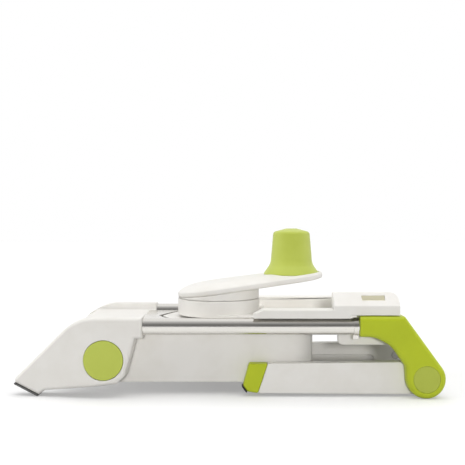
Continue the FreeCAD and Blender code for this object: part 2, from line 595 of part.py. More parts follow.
# Thickness dial: a flush disc in each cheek on one shaft, with two eccentric cams under the runway arms
across_pad(new_body("dial_shaft"), circle(DIAL_X, "dial_height", "shaft_diameter"), DIAL_IN)
for side, word in SIDES:
    side_pad(new_body("dial_" + word), side, circle(DIAL_X, "dial_height", "dial_diameter"), DIAL_IN, CHEEK_OUT)
    cam = new_body("dial_cam_" + word)
    side_pad(cam, side, circle(DIAL_X, "dial_height + cam_throw", "cam_diameter"), CAM_IN, CAM_OUT)
    side_cut(cam, side, circle(DIAL_X, "dial_height", "shaft_diameter + 2 * fit_gap"),
             "%s - cut_margin" % CAM_IN, "%s + cut_margin" % CAM_OUT)

# Folding legs: two arms with feet and rubber heels, tied by a crossbar
heel_length = "sqrt((heel_high - heel_low) ^ 2 + heel_run ^ 2)"
heel_out_x = "foot_sole * (heel_high - heel_low) / %s" % heel_length
heel_out_z = "foot_sole * heel_run / %s" % heel_length
for side, word in SIDES:
    leg = new_body("leg_arm_" + word)
    side_pad(leg, side, outline([
        ("%s + foot_top" % FOOT_X, "leg_top"),
        (PIVOT_X, "%s + leg_lug - leg_shoulder" % PIVOT_Z),
        (PIVOT_X, "%s - leg_lug" % PIVOT_Z),
        ("%s + foot_low" % FOOT_X, "leg_bottom"),
    ]), LEG_IN, LEG_OUT)
    side_pad(leg, side, circle(PIVOT_X, PIVOT_Z, "2 * leg_lug"), LEG_IN, LEG_OUT)
    side_cut(leg, side, circle(PIVOT_X, PIVOT_Z, "pivot_pin + 2 * fit_gap"),
             "%s - cut_margin" % LEG_IN, "%s + cut_margin" % LEG_OUT)
    side_cut(leg, side, teardrop("%s - leg_pocket_reach" % PIVOT_X, "leg_pocket_round",
                                 "%s - leg_pocket_end" % PIVOT_X, "leg_pocket_round", "leg_pocket_level"),
             "%s - cut_margin" % LEG_IN, "%s + leg_pocket_depth" % LEG_IN)
    side_pad(new_body("leg_foot_" + word), side, outline([
        ("%s + foot_lead" % FOOT_X, "leg_top"),
        ("%s + foot_top" % FOOT_X, "leg_top"),
        ("%s + foot_low" % FOOT_X, "leg_bottom"),
        ("%s + heel_run" % FOOT_X, "leg_bottom + heel_low"),
        (FOOT_X, "leg_bottom + heel_high"),
    ]), LEG_IN, LEG_OUT)
    side_pad(new_body("foot_sole_" + word), side, outline([
        (FOOT_X, "leg_bottom + heel_high"),
        ("%s + heel_run" % FOOT_X, "leg_bottom + heel_low"),
        ("%s + heel_run - %s" % (FOOT_X, heel_out_x), "leg_bottom + heel_low - %s" % heel_out_z),
        ("%s - %s" % (FOOT_X, heel_out_x), "leg_bottom + heel_high - %s" % heel_out_z),
    ]), LEG_IN, LEG_OUT)
bar_top = "(shell_bottom - crossbar_gap)"
bar_x = "(%s + crossbar_setback)" % FOOT_X
across_pad(new_body("leg_crossbar"), rectangle(bar_x, "%s - crossbar_height" % bar_top,
                                               "%s + crossbar_width" % bar_x, bar_top), LEG_IN)

# Guider carriage: two runners on the rails tied by a rear bridge, a raised grip block on the left runner and a
# round food chute, in one moulding
carriage = new_body("carriage_frame")
flat_pad(carriage, circle(CHUTE_X, "0", "chute_diameter"), CHUTE_LOW, "chute_height")
web_out = "(%s - guide_thickness / 2)" % GUIDE_OUT
web_front = "(%s + guide_front)" % RUN_FRONT
guide_end = "(%s - guide_rear)" % SLEEVE_X
bridge_half = "(%s + web_thickness)" % RUN_IN
for side, word in SIDES:
    flat_pad(carriage, outline([
        (CHUTE_X, signed(side, "chute_diameter / 2 - chute_wall")),
        (CHUTE_X, signed(side, "chute_diameter / 2")),
        (web_front, signed(side, web_out)),
        ("%s + web_length" % web_front, signed(side, web_out)),
        ("%s + chute_diameter / 2 - 2 * chute_wall" % CHUTE_X, signed(side, "web_foot")),
    ]), CHUTE_LOW, "web_thickness")
    side_pad(carriage, side, rectangle(web_front, "rail_height", guide_end, "%s + runner_height / 2" % RUN_LOW),
             "%s - guide_thickness" % GUIDE_OUT, GUIDE_OUT)
    side_pad(carriage, side, outline([
        (RUN_FRONT, RUN_LOW),
        ("%s + runner_slope" % RUN_FRONT, RUN_TOP),
        (RUN_REAR, RUN_TOP),
        (RUN_REAR, RUN_LOW),
    ]), RUN_IN, RUN_OUT)
    side_pad(carriage, side, rectangle(RUN_FRONT, "%s - lip_drop" % RUN_LOW, guide_end,
                                       "%s + runner_height / 2" % RUN_LOW),
             "%s + pad_width / 2 + slide_gap" % RAIL_Y, RUN_OUT)
flat_pad(carriage, rectangle("%s - bridge_length" % RUN_REAR, "-%s" % bridge_half, RUN_REAR, bridge_half),
         RUN_LOW, "runner_height")
down_cut(carriage, circle(CHUTE_X, "0", CHUTE_BORE), "%s + cut_margin" % CHUTE_TOP,
         "chute_height + 2 * cut_margin")
grip_side = SIDES[0][0]
block_front = "(%s - block_length)" % RUN_REAR
block_top = "(%s + block_height)" % RUN_LOW
block_lean = "(%s + block_skirt)" % RUN_LOW
block_top_out = "(%s - block_draft)" % RUN_OUT
block_line = side_pad(carriage, grip_side, rectangle(block_front, RUN_LOW, RUN_REAR, block_top), RUN_IN, RUN_OUT)
round_corners(carriage, block_line, [2], "block_round")
front_cut(carriage, outline([
    (signed(grip_side, RUN_OUT), block_lean),
    (signed(grip_side, block_top_out), block_top),
    (signed(grip_side, block_top_out), "%s + cut_margin" % block_top),
    (signed(grip_side, "%s + cut_margin" % RUN_OUT), "%s + cut_margin" % block_top),
    (signed(grip_side, "%s + cut_margin" % RUN_OUT), block_lean),
]), "%s + cut_margin" % RUN_REAR, "block_length + 2 * cut_margin")
down_cut(carriage, rectangle("%s + block_wall" % guide_end,
                             signed(grip_side, "%s - block_wall" % RUN_OUT), "%s - block_wall" % RUN_REAR,
                             signed(grip_side, "%s + block_wall" % RUN_IN)),
         block_lean, "block_skirt + cut_margin")
window_x = "(%s - window_rear)" % RUN_REAR
window_top = "(%s - window_drop)" % block_top
window_face = "(%s + window_drop * block_draft / (block_height - block_skirt))" % block_top_out
side_cut(carriage, grip_side, rectangle("%s - window_length" % window_x, "%s - window_height" % window_top,
                                        window_x, window_top),
         "%s - window_depth" % window_face, "%s + cut_margin" % RUN_OUT)
for side, word in SIDES:
    side_pad(new_body("runner_pad_" + word), side,
             rectangle(web_front, "%s + pad_gap" % RAIL_TOP, guide_end, RUN_LOW),
             "%s - pad_width / 2" % RAIL_Y, "%s + pad_width / 2" % RAIL_Y)

# Pusher plunger: runs in the chute and carries the tilted plate
plunger = new_body("pusher_plunger")
collar_low = "(%s + collar_gap)" % CHUTE_TOP
flat_pad(plunger, circle(CHUTE_X, "0", "%s - 2 * slide_gap" % CHUTE_BORE), PLUNGER_LOW,
         "%s - %s" % (collar_low, PLUNGER_LOW))
flat_pad(plunger, circle(CHUTE_X, "0", "chute_diameter - 2 * collar_inset"), collar_low, "collar_height")
half_chute = "chute_diameter / 2"
slope_front = "%s - %s - cut_margin" % (CHUTE_X, half_chute)
slope_rear = "%s + %s + cut_margin" % (CHUTE_X, half_chute)
slope_clear = "%s + collar_height + chute_diameter" % PLATE_LOW
across_cut(plunger, outline([
    (slope_front, "%s - cut_margin * %s" % (PLATE_LOW, TILT)),
    (slope_rear, "%s + (chute_diameter + cut_margin) * %s" % (PLATE_LOW, TILT)),
    (slope_rear, slope_clear),
    (slope_front, slope_clear),
]), "%s + cut_margin" % half_chute)

# Pusher plate: teardrop plate with a low crown, sloping up to the knob
blank = new_body("plate_blank")
pieces.remove(blank)
plate_far = "(knob_reach / cos(plate_tilt * 1deg))"


def plate_line(inset):
    return teardrop("0", "(%s - (%s))" % (half_chute, inset), plate_far, "(plate_end - (%s))" % inset, "0")


flat_pad(blank, plate_line("0"), "0", "plate_rim")
sections = []
for inset, level in (("0", "plate_rim"), ("plate_crown_inset", "plate_rim + plate_crown"),
                     ("plate_top_inset", "plate_rim + plate_top")):
    section = new_sketch(blank, "XY_Plane", level)
    plate_line(inset)(section)
    sections.append(section)
crown = blank.newObject("PartDesign::AdditiveLoft", "plate_crown_loft")
crown.Profile = sections[0]
crown.Sections = sections[1:]
blank.Placement = FreeCAD.Placement(FreeCAD.Vector(0, 0, 0), FreeCAD.Rotation(FreeCAD.Vector(0, -1, 0), 1))
blank.setExpression("Placement.Base.x", bound(CHUTE_X))
blank.setExpression("Placement.Base.z", bound("%s + %s * %s" % (PLATE_LOW, half_chute, TILT)))
blank.setExpression("Placement.Rotation.Angle", bound("plate_tilt * 1deg"))
seat = primitive("Cylinder", "knob_seat", (KNOB_X, "0", KNOB_LOW), Radius="knob_base / 2 + slide_gap",
                 Height="knob_height")
hole = primitive("Cylinder", "knob_screw_hole", (KNOB_X, "0", "%s - cut_margin" % HEAD_TOP),
                 Radius="screw_diameter / 2 + fit_gap", Height="knob_height")
recess = primitive("Cylinder", "screw_head_recess", (KNOB_X, "0", "%s - head_height - cut_margin" % HEAD_TOP),
                   Radius="head_diameter / 2 + slide_gap", Height="head_height + cut_margin")
cutter = doc.addObject("Part::MultiFuse", "knob_cutter")
cutter.Shapes = [seat, hole, recess]
pusher_plate = doc.addObject("Part::Cut", "pusher_plate")
pusher_plate.Base = blank
pusher_plate.Tool = cutter
pusher_plate.Label = "pusher_plate"
pieces.append(pusher_plate)

# Pusher knob: flared cone with a rounded crown, turned about its own axis
knob = new_body("pusher_knob")
knob_sketch = new_sketch(knob, "XZ_Plane", "0")
screw_bore = "screw_diameter / 2 + fit_gap"
outline([
    (screw_bore, "0"),
    ("knob_base / 2", "0"),
    ("knob_base / 2", "knob_lip"),
    ("knob_waist / 2", "knob_waist_rise"),
    ("knob_crown / 2", "knob_crown_rise"),
    ("knob_top / 2", "knob_height"),
    ("0", "knob_height"),
    ("0", "knob_screw_depth"),
    (screw_bore, "knob_screw_depth"),
])(knob_sketch)
knob_turn = knob.newObject("PartDesign::Revolution", "knob_turn")
knob_turn.Profile = knob_sketch
knob_turn.ReferenceAxis = (knob_sketch, ["V_Axis"])
knob_turn.Angle = 360
doc.recompute()
round_corners(knob, knob_sketch, [3], "knob_flare")
round_corners(knob, knob_sketch, [4], "knob_round")
for axis, text in zip("xz", (KNOB_X, KNOB_LOW)):
    knob.setExpression("Placement.Base." + axis, bound(text))

# Knob screw, its head sunk in the plate from below, and the prongs that hold the food
knob_screw = doc.addObject("Part::Fuse", "knob_screw")
knob_screw.Base = primitive("Cylinder", "knob_screw_head", (KNOB_X, "0", "%s - head_height" % HEAD_TOP),
                            Radius="head_diameter / 2", Height="head_height")
knob_screw.Tool = primitive("Cylinder", "knob_screw_shank", (KNOB_X, "0", HEAD_TOP),
                            Radius="screw_diameter / 2",
                            Height="%s + knob_screw_depth - %s" % (KNOB_LOW, HEAD_TOP))
knob_screw.Label = "knob_screw"
pieces.append(knob_screw)
prongs = []
for i in range(PRONGS):
    turn = "%d * 360 / %d * 1deg" % (i, PRONGS)
    prongs.append(primitive("Cone", "prong_%d" % i, (
        "%s + prong_ring * cos(%s)" % (CHUTE_X, turn), "prong_ring * sin(%s)" % turn,
        "%s - prong_length" % PLUNGER_LOW), Radius1="prong_tip / 2", Radius2="prong_diameter / 2",
        Height="prong_length"))
group("pusher_prongs", prongs)

doc.recompute()
for item in doc.Objects:
    if "Invalid" in item.State or "Error" in item.State:
        raise RuntimeError("failed object: " + item.Label)
for piece in pieces:
    if piece.Shape.isNull() or not piece.Shape.isValid():
        raise RuntimeError("bad shape: " + piece.Label)
os.makedirs("parts", exist_ok=True)
for piece in pieces:
    piece.Shape.exportStep("parts/%s.step" % piece.Label)
print(len(pieces), "pieces")
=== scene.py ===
import math

import bmesh
import bpy
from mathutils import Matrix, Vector


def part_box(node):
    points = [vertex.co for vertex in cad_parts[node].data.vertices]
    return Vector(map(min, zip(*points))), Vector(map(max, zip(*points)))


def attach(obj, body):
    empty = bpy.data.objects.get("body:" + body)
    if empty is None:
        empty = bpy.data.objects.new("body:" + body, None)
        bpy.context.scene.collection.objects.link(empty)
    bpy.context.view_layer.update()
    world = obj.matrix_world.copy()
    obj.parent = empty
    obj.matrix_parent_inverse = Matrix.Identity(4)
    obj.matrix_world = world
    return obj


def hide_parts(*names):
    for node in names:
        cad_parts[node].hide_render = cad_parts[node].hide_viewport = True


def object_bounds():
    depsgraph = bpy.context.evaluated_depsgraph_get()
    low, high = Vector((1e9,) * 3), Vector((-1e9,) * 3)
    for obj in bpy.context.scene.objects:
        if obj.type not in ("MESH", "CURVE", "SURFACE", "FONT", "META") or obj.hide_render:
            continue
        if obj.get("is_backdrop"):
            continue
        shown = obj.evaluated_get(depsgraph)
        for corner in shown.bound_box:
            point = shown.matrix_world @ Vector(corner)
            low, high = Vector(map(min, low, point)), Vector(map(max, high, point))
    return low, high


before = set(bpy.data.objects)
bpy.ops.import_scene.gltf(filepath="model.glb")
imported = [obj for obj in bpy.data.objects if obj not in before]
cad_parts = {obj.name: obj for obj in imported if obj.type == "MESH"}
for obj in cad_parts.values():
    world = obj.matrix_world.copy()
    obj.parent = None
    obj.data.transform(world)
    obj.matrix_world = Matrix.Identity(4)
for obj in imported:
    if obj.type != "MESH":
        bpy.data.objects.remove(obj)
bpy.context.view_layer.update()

# The view: the folded slicer from its left side, square on, with the lens level with the top of the knob.
# The focal length, in pixels of the square photograph, follows from the sizes of the near and far rails.
MM = 0.001
PHOTO_PIXELS = 465
FOCAL_PIXELS = 700
SENSOR_WIDTH = 36
LENS_PLACE = Vector((4.5, -690, 153)) * MM
LENS_DIP = math.radians(0.45)

lens = bpy.data.cameras.new("side_view")
lens.sensor_width = SENSOR_WIDTH
lens.lens = FOCAL_PIXELS / PHOTO_PIXELS * SENSOR_WIDTH
camera = bpy.data.objects.new("side_view", lens)
camera.location = LENS_PLACE
camera.rotation_euler = (math.pi / 2 - LENS_DIP, 0, 0)
bpy.context.scene.collection.objects.link(camera)
bpy.context.scene.camera = camera
bpy.context.scene.view_settings.view_transform = "Standard"

# The studio: a white table that keeps a soft shadow, a white room, and soft lights overhead, in front and
# at both sides. In reflections the room is dim in front, from just above the table upwards, which draws the
# long dark band along the polished rails.
FLOOR_HALF = 6.0
FLOOR_MATT = 0.45
FLOOR_SEEN = 0.98
FLOOR_GLOW_SHARE = 0.2
FLOOR_GLOW = 1.25
ROOM_LIGHT = 0.22
ROOM_GLOOM = ((0.0, 0.0), (0.07, 0.82), (0.52, 0.82), (0.87, 0.5), (1.0, 0.2))
GLOOM_STARTS = 0.02
GLOOM_FULL = -0.2
OVERHEAD_STRENGTH = 1.8
OVERHEAD_SPREAD = math.radians(75)
OVERHEAD_LEAN = math.radians(-6)
LEFT_STRENGTH = 1.0
RIGHT_STRENGTH = 0.8
SIDE_SPREAD = math.radians(50)
SIDE_HEIGHT = math.radians(20)
FRONT_STRENGTH = 1.2
FRONT_SPREAD = math.radians(7)
FRONT_HEIGHT = math.radians(9.5)
WHITE_LIGHT = (1, 1, 1, 1)


def node(tree, kind, **settings):
    """Add one shader node; a setting named after an input gives that input its value."""
    item = tree.nodes.new(kind)
    for name, value in settings.items():
        if hasattr(item, name):
            setattr(item, name, value)
        else:
            item.inputs[name.replace("_", " ")].default_value = value
    return item


def join(tree, source, target):
    """Feed an input from a socket, or give it a constant."""
    if isinstance(source, bpy.types.NodeSocket):
        tree.links.new(source, target)
    else:
        target.default_value = source


def combined(tree, operation, first, second):
    """Socket with the result of one operation on two sockets or numbers."""
    working = node(tree, "ShaderNodeMath", operation=operation)
    join(tree, first, working.inputs[0])
    join(tree, second, working.inputs[1])
    return working.outputs[0]


def ranged(tree, value, from_low, from_high, to_low=0.0, to_high=1.0):
    """Socket with a value carried over from one range to another, and held at its ends."""
    scale = node(tree, "ShaderNodeMapRange",
                 From_Min=from_low, From_Max=from_high, To_Min=to_low, To_Max=to_high)
    join(tree, value, scale.inputs["Value"])
    return scale.outputs["Result"]


def mixed(tree, share, first, second):
    """Socket with a value between two values, each a socket or a number."""
    mix = node(tree, "ShaderNodeMix", data_type="FLOAT")
    join(tree, share, mix.inputs["Factor"])
    join(tree, first, mix.inputs["A"])
    join(tree, second, mix.inputs["B"])
    return mix.outputs["Result"]


world = bpy.data.worlds.new("white_room")
bpy.context.scene.world = world
world.use_nodes = True
tree = world.node_tree
tree.nodes.clear()
rays = node(tree, "ShaderNodeLightPath")
seen = combined(tree, "MAXIMUM", rays.outputs["Is Camera Ray"], rays.outputs["Is Transmission Ray"])
place = node(tree, "ShaderNodeTexCoord")
parts = node(tree, "ShaderNodeSeparateXYZ")
join(tree, place.outputs["Generated"], parts.inputs[0])
heights = node(tree, "ShaderNodeValToRGB")
ramp = heights.color_ramp
while len(ramp.elements) < len(ROOM_GLOOM):
    ramp.elements.new(0.5)
for stop, (height, dark) in zip(ramp.elements, ROOM_GLOOM):
    stop.position = height
    stop.color = (dark, dark, dark, 1)
join(tree, parts.outputs["Z"], heights.inputs[0])
front = ranged(tree, parts.outputs["Y"], GLOOM_STARTS, GLOOM_FULL)
gloom = combined(tree, "MULTIPLY", heights.outputs["Color"], front)
mirrored = combined(tree, "SUBTRACT", 1.0, gloom)
unseen = mixed(tree, rays.outputs["Is Glossy Ray"], ROOM_LIGHT, mirrored)
sky = node(tree, "ShaderNodeBackground")
join(tree, WHITE_LIGHT, sky.inputs["Color"])
join(tree, mixed(tree, seen, unseen, 1.0), sky.inputs["Strength"])
join(tree, sky.outputs[0], node(tree, "ShaderNodeOutputWorld").inputs[0])

for name, strength, spread, tip, turn in (
        ("overhead_softbox", OVERHEAD_STRENGTH, OVERHEAD_SPREAD, OVERHEAD_LEAN, 0),
        ("left_softbox", LEFT_STRENGTH, SIDE_SPREAD, math.pi / 2 - SIDE_HEIGHT, -math.pi / 2),
        ("right_softbox", RIGHT_STRENGTH, SIDE_SPREAD, math.pi / 2 - SIDE_HEIGHT, math.pi / 2),
        ("front_softbox", FRONT_STRENGTH, FRONT_SPREAD, math.pi / 2 - FRONT_HEIGHT, 0)):
    softbox = bpy.data.lights.new(name, "SUN")
    softbox.energy = strength
    softbox.angle = spread
    softbox_stand = bpy.data.objects.new(name, softbox)
    softbox_stand.rotation_euler = (tip, 0, turn)
    softbox_stand.visible_glossy = False
    bpy.context.scene.collection.objects.link(softbox_stand)

table_mesh = bpy.data.meshes.new("white_table")
corners = [(-FLOOR_HALF, -FLOOR_HALF, 0), (FLOOR_HALF, -FLOOR_HALF, 0),
           (FLOOR_HALF, FLOOR_HALF, 0), (-FLOOR_HALF, FLOOR_HALF, 0)]
table_mesh.from_pydata(corners, [], [(0, 1, 2, 3)])
table = bpy.data.objects.new("white_table", table_mesh)
bpy.context.scene.collection.objects.link(table)
table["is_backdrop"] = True
table_paint = bpy.data.materials.new("white_table")
table_paint.use_nodes = True
tree = table_paint.node_tree
tree.nodes.clear()
rays = node(tree, "ShaderNodeLightPath")
direct = combined(tree, "MAXIMUM", rays.outputs["Is Camera Ray"], rays.outputs["Is Glossy Ray"])
matt = node(tree, "ShaderNodeBsdfDiffuse")
join(tree, mixed(tree, direct, FLOOR_MATT, FLOOR_SEEN), matt.inputs["Color"])
glow = node(tree, "ShaderNodeEmission")
join(tree, WHITE_LIGHT, glow.inputs["Color"])
join(tree, FLOOR_GLOW, glow.inputs["Strength"])
lit = node(tree, "ShaderNodeMixShader")
join(tree, combined(tree, "MULTIPLY", direct, FLOOR_GLOW_SHARE), lit.inputs[0])
join(tree, matt.outputs[0], lit.inputs[1])
join(tree, glow.outputs[0], lit.inputs[2])
join(tree, lit.outputs[0], node(tree, "ShaderNodeOutputMaterial").inputs[0])
table_mesh.materials.append(table_paint)

# Front cheeks: two hollow side housings of warm white moulded plastic that hold the rail ends and the dial.
# Their faces have a fine spark-eroded grain, and the corners are softened by the mould.
WHITE = (0.86, 0.84, 0.80)
WHITE_DEEP = (0.81, 0.785, 0.735)
WHITE_EDGE = (0.90, 0.885, 0.855)
WHITE_ROUGHNESS = (0.32, 0.46)
FINE_GRAIN = 0.02 * MM
GRAIN_SCALE = 2600.0
MOTTLE_SCALE = 38.0
MOTTLE_TONE = (0.25, 0.6)
MOTTLE_POLISH = (0.3, 0.7)
WEAR_BEND = (0.995, 0.80)
WEAR_WIDTH = 1.2 * MM
WEAR = 0.6
WEAR_PATCHES = 180.0
CHEEK_EASE = 3.2 * MM
FINE_EASE = 0.35 * MM
WELD = 0.002 * MM
FLAT = math.radians(0.6)
CREASE = math.radians(32)
DIAL_CLEAR = 19 * MM
RIM_REACH = 0.2 * MM
TAPER_X = -120.5 * MM
TAPER = 0.203
CHEEK_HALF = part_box("front_cheek_right")[1].y


def middle_of(name):
    low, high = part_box(name)
    return (low + high) / 2


DIAL = middle_of("dial_left")


def opaque(colour):
    return (*colour, 1.0)


def blended(tree, share, first, second):
    """Socket with a colour between two colours, each a socket or a constant."""
    mix = node(tree, "ShaderNodeMix", data_type="RGBA")
    colour_ends = [end for end in mix.inputs if end.type == "RGBA"]
    result = next(end for end in mix.outputs if end.type == "RGBA")
    join(tree, share, mix.inputs["Factor"])
    join(tree, first, colour_ends[0])
    join(tree, second, colour_ends[1])
    return result


def shader_group(name, inputs, outputs):
    """Empty node group with float inputs and the given outputs, and its two end nodes."""
    group = bpy.data.node_groups.new(name, "ShaderNodeTree")
    for label, value in inputs:
        group.interface.new_socket(label, in_out="INPUT", socket_type="NodeSocketFloat").default_value = value
    for label in outputs:
        group.interface.new_socket(label, in_out="OUTPUT", socket_type="NodeSocketFloat")
    return group, node(group, "NodeGroupInput"), node(group, "NodeGroupOutput")


mould_grain, ends_in, ends_out = shader_group(
    "mould_grain", [("Grain Scale", GRAIN_SCALE), ("Mottle Scale", MOTTLE_SCALE)], ["Height", "Mottle"])
place = node(mould_grain, "ShaderNodeTexCoord")
grain = node(mould_grain, "ShaderNodeTexNoise", Detail=2.0, Roughness=0.6)
flow = node(mould_grain, "ShaderNodeTexNoise", Detail=4.0, Roughness=0.55)
for texture, label in ((grain, "Grain Scale"), (flow, "Mottle Scale")):
    join(mould_grain, place.outputs["Object"], texture.inputs["Vector"])
    join(mould_grain, ends_in.outputs[label], texture.inputs["Scale"])
join(mould_grain, grain.outputs["Fac"], ends_out.inputs["Height"])
join(mould_grain, flow.outputs["Fac"], ends_out.inputs["Mottle"])

rubbed_edge, ends_in, ends_out = shader_group(
    "rubbed_edge", [("Width", WEAR_WIDTH), ("Wear", WEAR)], ["Mask"])
softened = node(rubbed_edge, "ShaderNodeBevel", samples=4)
join(rubbed_edge, ends_in.outputs["Width"], softened.inputs["Radius"])
true_normal = node(rubbed_edge, "ShaderNodeNewGeometry")
agree = node(rubbed_edge, "ShaderNodeVectorMath", operation="DOT_PRODUCT")
join(rubbed_edge, softened.outputs[0], agree.inputs[0])
join(rubbed_edge, true_normal.outputs["Normal"], agree.inputs[1])
bent = ranged(rubbed_edge, agree.outputs["Value"], *WEAR_BEND)
place = node(rubbed_edge, "ShaderNodeTexCoord")
patches = node(rubbed_edge, "ShaderNodeTexNoise", Scale=WEAR_PATCHES, Detail=3.0)
join(rubbed_edge, place.outputs["Object"], patches.inputs["Vector"])
broken = combined(rubbed_edge, "MULTIPLY", bent, patches.outputs["Fac"])
worn = combined(rubbed_edge, "MULTIPLY", broken, ends_in.outputs["Wear"])
join(rubbed_edge, worn, ends_out.inputs["Mask"])


def moulded_plastic(name, colour, deep, edge, roughness, grain_depth, grain_scale=GRAIN_SCALE):
    """Moulded plastic or rubber: slight flow marks in the colour, fine grain, and rubbed edges."""
    material = bpy.data.materials.new(name)
    material.use_nodes = True
    tree = material.node_tree
    skin = tree.nodes["Principled BSDF"]
    surface = node(tree, "ShaderNodeGroup", node_tree=mould_grain)
    join(tree, grain_scale, surface.inputs["Grain Scale"])
    wear = node(tree, "ShaderNodeGroup", node_tree=rubbed_edge)
    mottle = surface.outputs["Mottle"]
    tone = blended(tree, ranged(tree, mottle, *MOTTLE_TONE), opaque(deep), opaque(colour))
    join(tree, blended(tree, wear.outputs["Mask"], tone, opaque(edge)), skin.inputs["Base Color"])
    join(tree, ranged(tree, mottle, *MOTTLE_POLISH, *roughness), skin.inputs["Roughness"])
    relief = node(tree, "ShaderNodeBump", Strength=0.35, Distance=grain_depth)
    join(tree, surface.outputs["Height"], relief.inputs["Height"])
    join(tree, relief.outputs[0], skin.inputs["Normal"])
    return material


def place_piece(name, mesh, material, body, stands_for):
    """Finish a mesh as one piece of the object on its moving body."""
    for face in mesh.polygons:
        face.use_smooth = True
    mesh.materials.clear()
    mesh.materials.append(material)
    piece = bpy.data.objects.new(name, mesh)
    bpy.context.scene.collection.objects.link(piece)
    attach(piece, body)
    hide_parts(stands_for)
    return piece


def eased(source, material, body, ease, share_at=None, segments=3):
    """The solid of one node with its outer edges rounded; share_at gives an edge its share of the ease."""
    shape = bmesh.new()
    shape.from_mesh(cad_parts[source].data)
    bmesh.ops.remove_doubles(shape, verts=shape.verts, dist=WELD)
    bmesh.ops.dissolve_limit(shape, angle_limit=FLAT, verts=shape.verts, edges=shape.edges)
    weights = shape.edges.layers.float.new("bevel_weight_edge")
    for edge in shape.edges:
        bend = edge.calc_face_angle_signed(0.0)
        edge.smooth = bend > -CREASE
        if bend > CREASE:
            middle = (edge.verts[0].co + edge.verts[1].co) / 2
            edge[weights] = share_at(middle) if share_at else 1.0
    mesh = bpy.data.meshes.new(source + "_moulded")
    shape.to_mesh(mesh)
    shape.free()
    piece = place_piece(source + "_moulded", mesh, material, body, source)
    rounding = piece.modifiers.new("rounding", "BEVEL")
    rounding.limit_method = "WEIGHT"
    rounding.width = ease
    rounding.segments = segments
    rounding.use_clamp_overlap = False
    rounding.loop_slide = False
    rounding.harden_normals = False
    shading = piece.modifiers.new("even_shading", "WEIGHTED_NORMAL")
    shading.keep_sharp = True


def cheek_edge(middle):
    """Full rounding round the outer face, which tapers towards the toe; a fine one at the dial and inside."""
    at_dial = math.hypot(middle.x - DIAL.x, middle.z - DIAL.z) < DIAL_CLEAR
    outer_face = CHEEK_HALF - TAPER * max(0.0, TAPER_X - middle.x)
    return FINE_EASE / CHEEK_EASE if at_dial or abs(middle.y) < outer_face - RIM_REACH else 1.0


white_plastic = moulded_plastic("white_plastic", WHITE, WHITE_DEEP, WHITE_EDGE, WHITE_ROUGHNESS, FINE_GRAIN)
for side in ("left", "right"):
    eased("front_cheek_" + side, white_plastic, "frame", CHEEK_EASE, cheek_edge)

# Toe soles and foot soles: rubber strips glued under the slanted toes and on the heels of the legs.
# The rubber is matt, with a coarse sanded grain, dark grey at the toes and black on the legs.
RUBBER = (0.022, 0.022, 0.024)
RUBBER_DEEP = (0.012, 0.012, 0.013)
RUBBER_EDGE = (0.06, 0.06, 0.06)
TOE_RUBBER = (0.13, 0.13, 0.125)
TOE_RUBBER_DEEP = (0.10, 0.10, 0.097)
TOE_RUBBER_EDGE = (0.19, 0.19, 0.18)
RUBBER_ROUGHNESS = (0.62, 0.8)
SANDED_GRAIN = 0.12 * MM
SANDED_SCALE = 1100.0
SOLE_EASE = 0.45 * MM

dark_rubber = moulded_plastic(
    "dark_rubber", RUBBER, RUBBER_DEEP, RUBBER_EDGE, RUBBER_ROUGHNESS, SANDED_GRAIN, SANDED_SCALE)
toe_rubber = moulded_plastic(
    "toe_rubber", TOE_RUBBER, TOE_RUBBER_DEEP, TOE_RUBBER_EDGE, RUBBER_ROUGHNESS, SANDED_GRAIN, SANDED_SCALE)
for side in ("left", "right"):
    eased("toe_sole_" + side, toe_rubber, "frame", SOLE_EASE)
    eased("foot_sole_" + side, dark_rubber, "leg_frame", SOLE_EASE)

# Rails: drawn steel tubes with a satin polish along their length, pressed into the cheeks and the handle.
# A thin steel ring with a stop nib sits on each rail where it enters the handle.
STEEL = (0.78, 0.76, 0.72)
STEEL_DULL = (0.66, 0.64, 0.60)
STEEL_ROUGHNESS = (0.13, 0.26)
BRUSH_ALONG = 9.0
BRUSH_ACROSS = 2400.0
BRUSH_DEPTH = 0.01 * MM
LINE_TONE = (0.2, 0.6)
SMUDGE_SCALE = 24.0
SMUDGE_POLISH = (0.3, 0.7)
TUBE_SIDES = 72
TUBE_WALL = 1.2 * MM
TUBE_LIP = 0.4 * MM
RING_EASE = 0.2 * MM


def turned_tube(name, profile, start):
    """Mesh turned about a line along x, from (radius, distance) points that close on themselves."""
    shape = bmesh.new()
    rings = []
    for radius, distance in profile:
        ring = []
        for i in range(TUBE_SIDES):
            angle = 2 * math.pi * i / TUBE_SIDES
            spoke = Vector((distance, radius * math.sin(angle), -radius * math.cos(angle)))
            ring.append(shape.verts.new(start + spoke))
        rings.append(ring)
    for ring, following in zip(rings, rings[1:] + rings[:1]):
        for i in range(TUBE_SIDES):
            after = (i + 1) % TUBE_SIDES
            shape.faces.new((ring[i], ring[after], following[after], following[i]))
    bmesh.ops.recalc_face_normals(shape, faces=shape.faces)
    mesh = bpy.data.meshes.new(name)
    shape.to_mesh(mesh)
    shape.free()
    mesh.set_sharp_from_angle(angle=CREASE)
    return mesh


